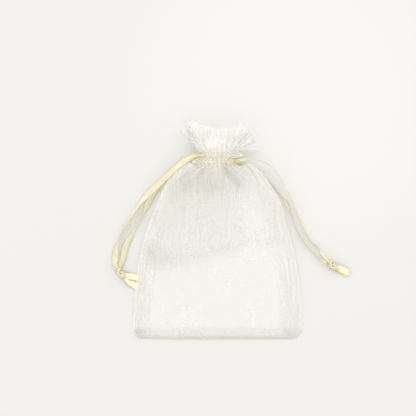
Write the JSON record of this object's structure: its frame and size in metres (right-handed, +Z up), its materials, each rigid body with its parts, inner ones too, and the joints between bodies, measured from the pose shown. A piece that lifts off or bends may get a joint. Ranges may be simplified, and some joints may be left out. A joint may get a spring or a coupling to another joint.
{
  "type": "drawstring gift pouch",
  "caption": "Sheer ivory drawstring pouch lying flat, drawn closed to a gathered neck and ruffle, with a knotted satin ribbon loop at each side.",
  "frame": {"origin": "On the table, under the middle of the closed pouch without its ribbons: half way across its width and half way from the bottom fold to the top of the ruffle.", "axes": "+X runs to the pouch's right-hand side seam as seen from above, +Y from the bottom fold to the mouth, +Z up from the table, out of the front panel."},
  "size_m": [0.1419, 0.127, 0.0157],
  "materials": {
    "organza": "sheer plain-weave organza, ivory, crisp, with a faint sheen",
    "organza_doubled": "two plies of the same sheer organza, so denser",
    "satin_ribbon": "narrow pale gold satin ribbon with woven edges",
    "thread": "ivory polyester sewing thread"
  },
  "bodies": {
    "pouch": {"front_panel": "organza", "back_panel": "organza", "front_casing": "organza_doubled", "back_casing": "organza_doubled", "front_facing": "organza", "back_facing": "organza", "front_ruffle": "organza", "back_ruffle": "organza", "front_ruffle_lining": "organza", "back_ruffle_lining": "organza", "left_seam_allowance": "organza_doubled", "right_seam_allowance": "organza_doubled", "left_seam_stitching": "thread", "right_seam_stitching": "thread", "lower_channel_stitching": "thread", "upper_channel_stitching": "thread"},
    "left_drawstring": {"left_ribbon_run": "satin_ribbon", "left_ribbon_front_strand": "satin_ribbon", "left_ribbon_back_strand": "satin_ribbon", "left_knot": "satin_ribbon", "left_upper_tail": "satin_ribbon", "left_lower_tail": "satin_ribbon"},
    "right_drawstring": {"right_ribbon_run": "satin_ribbon", "right_ribbon_front_strand": "satin_ribbon", "right_ribbon_back_strand": "satin_ribbon", "right_knot": "satin_ribbon", "right_upper_tail": "satin_ribbon", "right_lower_tail": "satin_ribbon"}
  },
  "joints": [
    {"name": "left_drawstring_slide", "type": "slide", "parent": "pouch", "child": "left_drawstring", "axis": [-1, 0, 0], "range_m": [0, 0.003]},
    {"name": "right_drawstring_slide", "type": "slide", "parent": "pouch", "child": "right_drawstring", "axis": [1, 0, 0], "range_m": [0, 0.003]}
  ]
}
